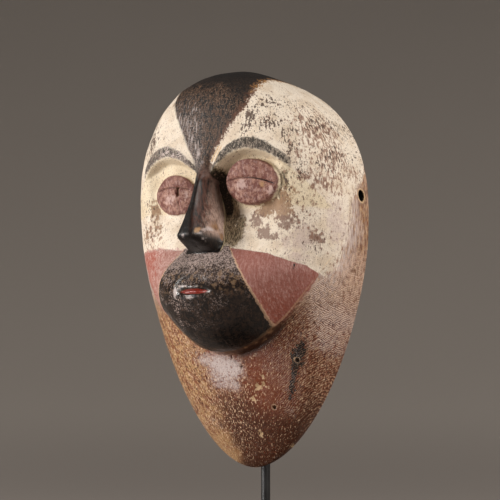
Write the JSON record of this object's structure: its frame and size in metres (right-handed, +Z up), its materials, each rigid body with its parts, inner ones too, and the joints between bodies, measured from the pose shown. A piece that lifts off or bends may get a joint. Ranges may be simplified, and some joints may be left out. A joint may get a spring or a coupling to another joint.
{
  "type": "carved face mask on a rod stand",
  "caption": "Hollow carved wooden face mask with painted face, long plain lower part and cord holes in the rim, held up by a bent rod on a flat foot.",
  "frame": {"origin": "middle of the underside of the stand's foot", "axes": "+Z up, the face looks towards -Y, +X is to the right as the face is looked at"},
  "size_m": [0.1834, 0.142, 0.3697],
  "materials": {
    "carved_wood": "worn varnish, with areas of white, red-brown and black pigment",
    "black_steel": "satin black paint"
  },
  "bodies": {
    "root": {"mask": "carved_wood", "stand_rod": "black_steel", "stand_base": "black_steel"}
  },
  "joints": []
}
